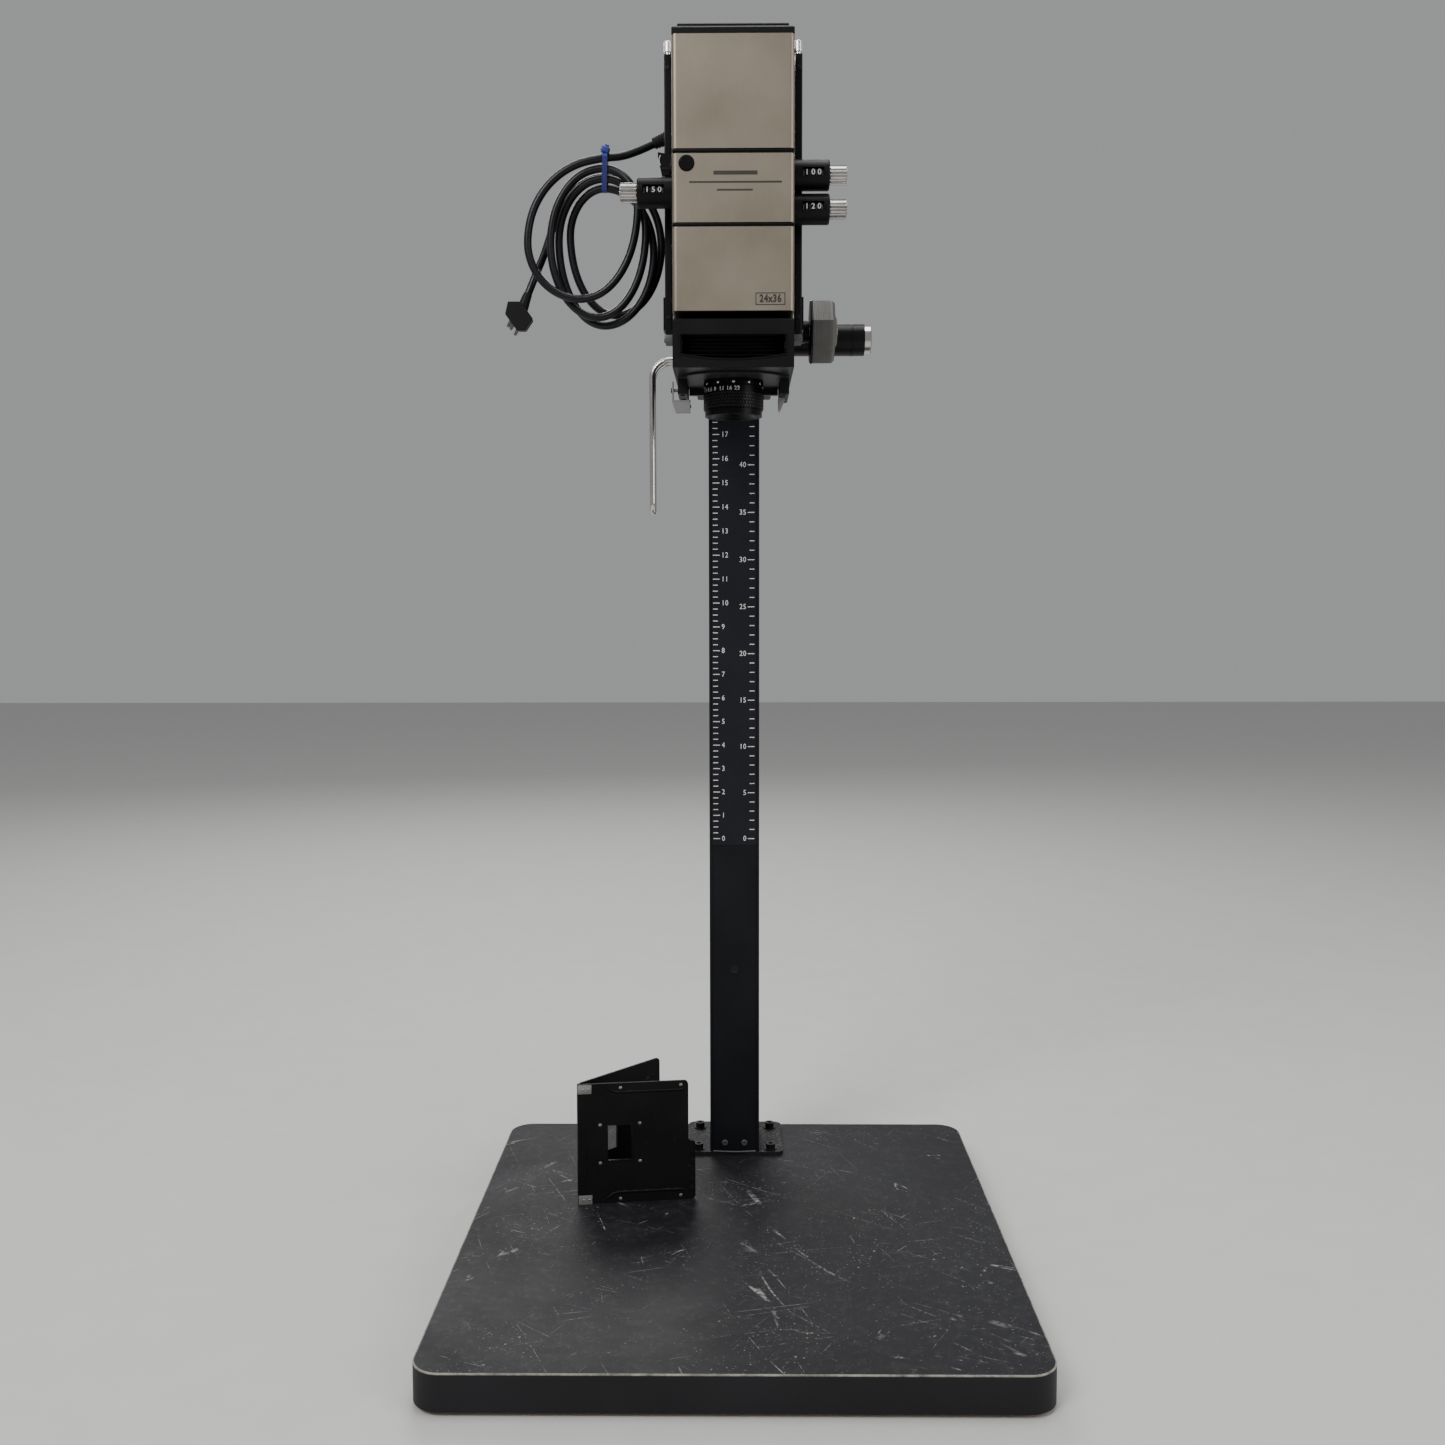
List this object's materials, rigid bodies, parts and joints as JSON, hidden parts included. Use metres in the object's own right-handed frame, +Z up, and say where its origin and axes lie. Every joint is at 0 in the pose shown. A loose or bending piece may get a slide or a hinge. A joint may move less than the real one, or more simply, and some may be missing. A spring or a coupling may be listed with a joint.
{
  "type": "photo enlarger",
  "caption": "Colour-head photo enlarger: lamphouse with filter dials on a column over a baseboard, focusing lens stage, lift bar, hinged negative carrier and tied cord.",
  "frame": {"origin": "on the ground under the middle of the baseboard", "axes": "+Z up; the front with the operator faces -Y; +X is the side of the focus knob and grip"},
  "size_m": [0.516, 0.544, 1.15],
  "materials": {
    "board_core": "particle board",
    "black_laminate": "satin black laminate",
    "black_rubber": "moulded",
    "black_anodised": "black anodised, satin",
    "foot_black": "black enamel",
    "bolt_black": "blackened steel",
    "scale_black": "printed black strip",
    "frame_black": "black paint, fine texture",
    "satin_silver": "warm satin silver",
    "silver_bracket": "satin",
    "nylon_white": "nylon",
    "spring_steel": "oiled steel",
    "bellows_black": "pleated cloth",
    "grip_black": "moulded plastic",
    "chrome": "polished",
    "knob_grey": "grey moulded plastic",
    "steel": "turned steel",
    "stage_grey": "grey paint",
    "lens_black": "black anodised",
    "glass": "coated optical glass",
    "latch_grey": "grey moulded plastic",
    "knob_black_chrome": "fluted chrome",
    "housing_black": "moulded plastic",
    "filter_yellow": "dichroic yellow",
    "filter_magenta": "dichroic magenta",
    "filter_cyan": "dichroic cyan",
    "lamp_silver": "mirrored reflector",
    "diffuser_white": "white foam and opal plate",
    "cord_black": "satin jacket",
    "tie_blue": "nylon",
    "plug_black": "moulded",
    "carrier_black": "black enamel on sheet steel",
    "button_black": "moulded"
  },
  "bodies": {
    "stand": {"baseboard_core": "board_core", "baseboard_laminate": "black_laminate", "rubber_feet": "black_rubber", "column_foot": "foot_black", "foot_bolts": "bolt_black", "column": "black_anodised", "column_scales": "scale_black", "column_cap": "housing_black", "counterbalance_spring": "spring_steel"},
    "carriage": {"carriage_sleeve": "frame_black", "glide_pads": "nylon_white", "head_frame": "frame_black", "focus_bridge": "frame_black", "negative_stage": "frame_black", "bellows_cover": "frame_black", "bellows": "bellows_black", "guide_posts": "silver_bracket", "handle_grip": "grip_black"},
    "release_button": {"release_button": "chrome"},
    "focus_knob": {"focus_knob": "knob_grey", "focus_shaft": "steel"},
    "lens_stage": {"lens_stage_plate": "stage_grey", "lens_board": "stage_grey", "board_clamps": "frame_black", "focus_rack": "steel", "lens_barrel": "lens_black", "lens_glass": "glass"},
    "aperture_ring": {"aperture_ring": "lens_black"},
    "board_latch": {"board_latch": "latch_grey"},
    "lift_lever": {"lift_hub": "frame_black", "lift_bail": "chrome"},
    "lamphouse": {"lamphouse_body": "frame_black", "top_cap": "frame_black", "upper_cover": "satin_silver", "filter_cover": "satin_silver", "chamber_cover": "satin_silver", "filter_housings": "housing_black", "lamp": "lamp_silver", "heat_glass": "glass", "mixing_chamber": "diffuser_white", "strain_relief": "black_rubber", "cord_lead": "cord_black", "cord_coil": "cord_black", "cord_tail": "cord_black", "cord_tie": "tie_blue", "plug": "plug_black"},
    "dial_left": {"dial_knob_left": "knob_black_chrome"},
    "dial_upper_right": {"dial_knob_upper_right": "knob_black_chrome"},
    "dial_lower_right": {"dial_knob_lower_right": "knob_black_chrome"},
    "blade_left": {"filter_blade_left": "filter_yellow"},
    "blade_upper_right": {"filter_blade_upper_right": "filter_magenta"},
    "blade_lower_right": {"filter_blade_lower_right": "filter_cyan"},
    "white_light_lever": {"white_light_lever": "housing_black"},
    "module_button": {"module_button": "button_black"},
    "thumb_screw_left": {"thumb_screw_left": "chrome"},
    "thumb_screw_right": {"thumb_screw_right": "chrome"},
    "carrier_front": {"carrier_front": "carrier_black"},
    "carrier_rear": {"carrier_rear": "carrier_black"}
  },
  "joints": [
    {"name": "head_height", "type": "slide", "parent": "stand", "child": "carriage", "axis": [0, 0, 1], "range_m": [-0.52, 0.06]},
    {"name": "release_press", "type": "slide", "parent": "carriage", "child": "release_button", "axis": [-1, 0, 0], "range_m": [0, 0.004], "stiffness_N_per_m": 1200, "springref_m": -0.001},
    {"name": "focus_turn", "type": "hinge", "parent": "carriage", "child": "focus_knob", "pos_m": [0, 0.06, 0.903], "axis": [1, 0, 0], "range_deg": [-35, 375]},
    {"name": "focus_travel", "type": "slide", "parent": "carriage", "child": "lens_stage", "axis": [0, 0, 1], "range_m": [-0.06, 0.006], "deforming": ["bellows"]},
    {"name": "aperture_turn", "type": "hinge", "parent": "lens_stage", "child": "aperture_ring", "pos_m": [0, -0.013, 0.8275], "axis": [0, 0, 1], "range_deg": [-120, 30]},
    {"name": "board_release", "type": "hinge", "parent": "lens_stage", "child": "board_latch", "pos_m": [-0.05, -0.027, 0.834], "axis": [1, 0, 0], "range_deg": [0, 30], "stiffness_Nm_per_rad": 0.02, "springref_deg": -11.46},
    {"name": "lift_turn", "type": "hinge", "parent": "carriage", "child": "lift_lever", "pos_m": [-0.05, 0.06, 0.875], "axis": [-1, 0, 0], "range_deg": [0, 60]},
    {"name": "lamphouse_lift", "type": "slide", "parent": "carriage", "child": "lamphouse", "axis": [0, 0, 1], "range_m": [0, 0.005]},
    {"name": "dial_left_turn", "type": "hinge", "parent": "lamphouse", "child": "dial_left", "pos_m": [-0.092, -0.048, 1.0038], "axis": [-1, 0, 0], "range_deg": [-2700, 900]},
    {"name": "dial_upper_right_turn", "type": "hinge", "parent": "lamphouse", "child": "dial_upper_right", "pos_m": [0.092, -0.048, 1.0183], "axis": [1, 0, 0], "range_deg": [-1800, 1800]},
    {"name": "dial_lower_right_turn", "type": "hinge", "parent": "lamphouse", "child": "dial_lower_right", "pos_m": [0.092, -0.048, 0.9889], "axis": [1, 0, 0], "range_deg": [-2160, 1440]},
    {"name": "blade_left_travel", "type": "slide", "parent": "lamphouse", "child": "blade_left", "axis": [1, 0, 0], "range_m": [-0.02252, 0.00752]},
    {"name": "blade_upper_right_travel", "type": "slide", "parent": "lamphouse", "child": "blade_upper_right", "axis": [-1, 0, 0], "range_m": [-0.01502, 0.01502]},
    {"name": "blade_lower_right_travel", "type": "slide", "parent": "lamphouse", "child": "blade_lower_right", "axis": [-1, 0, 0], "range_m": [-0.01802, 0.01202]},
    {"name": "white_light_swing", "type": "hinge", "parent": "lamphouse", "child": "white_light_lever", "pos_m": [-0.06, -0.048, 1.0235], "axis": [-1, 0, 0], "range_deg": [0, 40]},
    {"name": "module_press", "type": "slide", "parent": "lamphouse", "child": "module_button", "axis": [0, 1, 0], "range_m": [0, 0.0015], "stiffness_N_per_m": 800, "springref_m": -0.001},
    {"name": "thumb_left_turn", "type": "hinge", "parent": "carriage", "child": "thumb_screw_left", "pos_m": [-0.059, -0.015, 1.14], "axis": [0, 0, 1], "range_deg": [0, 720]},
    {"name": "thumb_right_turn", "type": "hinge", "parent": "carriage", "child": "thumb_screw_right", "pos_m": [0.059, -0.015, 1.14], "axis": [0, 0, 1], "range_deg": [0, 720]},
    {"name": "carrier_lift_off", "type": "slide", "parent": "stand", "child": "carrier_front", "axis": [0, 0, 1], "range_m": [0, 0.04]},
    {"name": "carrier_open", "type": "hinge", "parent": "carrier_front", "child": "carrier_rear", "pos_m": [-0.156, 0.0473, 0.096], "axis": [0, 0, 1], "range_deg": [-40, 110]}
  ],
  "couplings": [
    {"joint": "focus_travel", "follows": "focus_turn", "m_per_rad": -0.009},
    {"joint": "lamphouse_lift", "follows": "lift_turn", "m_per_rad": 0.00477},
    {"joint": "blade_left_travel", "follows": "dial_left_turn", "m_per_rad": 0.00047746},
    {"joint": "blade_upper_right_travel", "follows": "dial_upper_right_turn", "m_per_rad": 0.00047746},
    {"joint": "blade_lower_right_travel", "follows": "dial_lower_right_turn", "m_per_rad": 0.00047746}
  ]
}
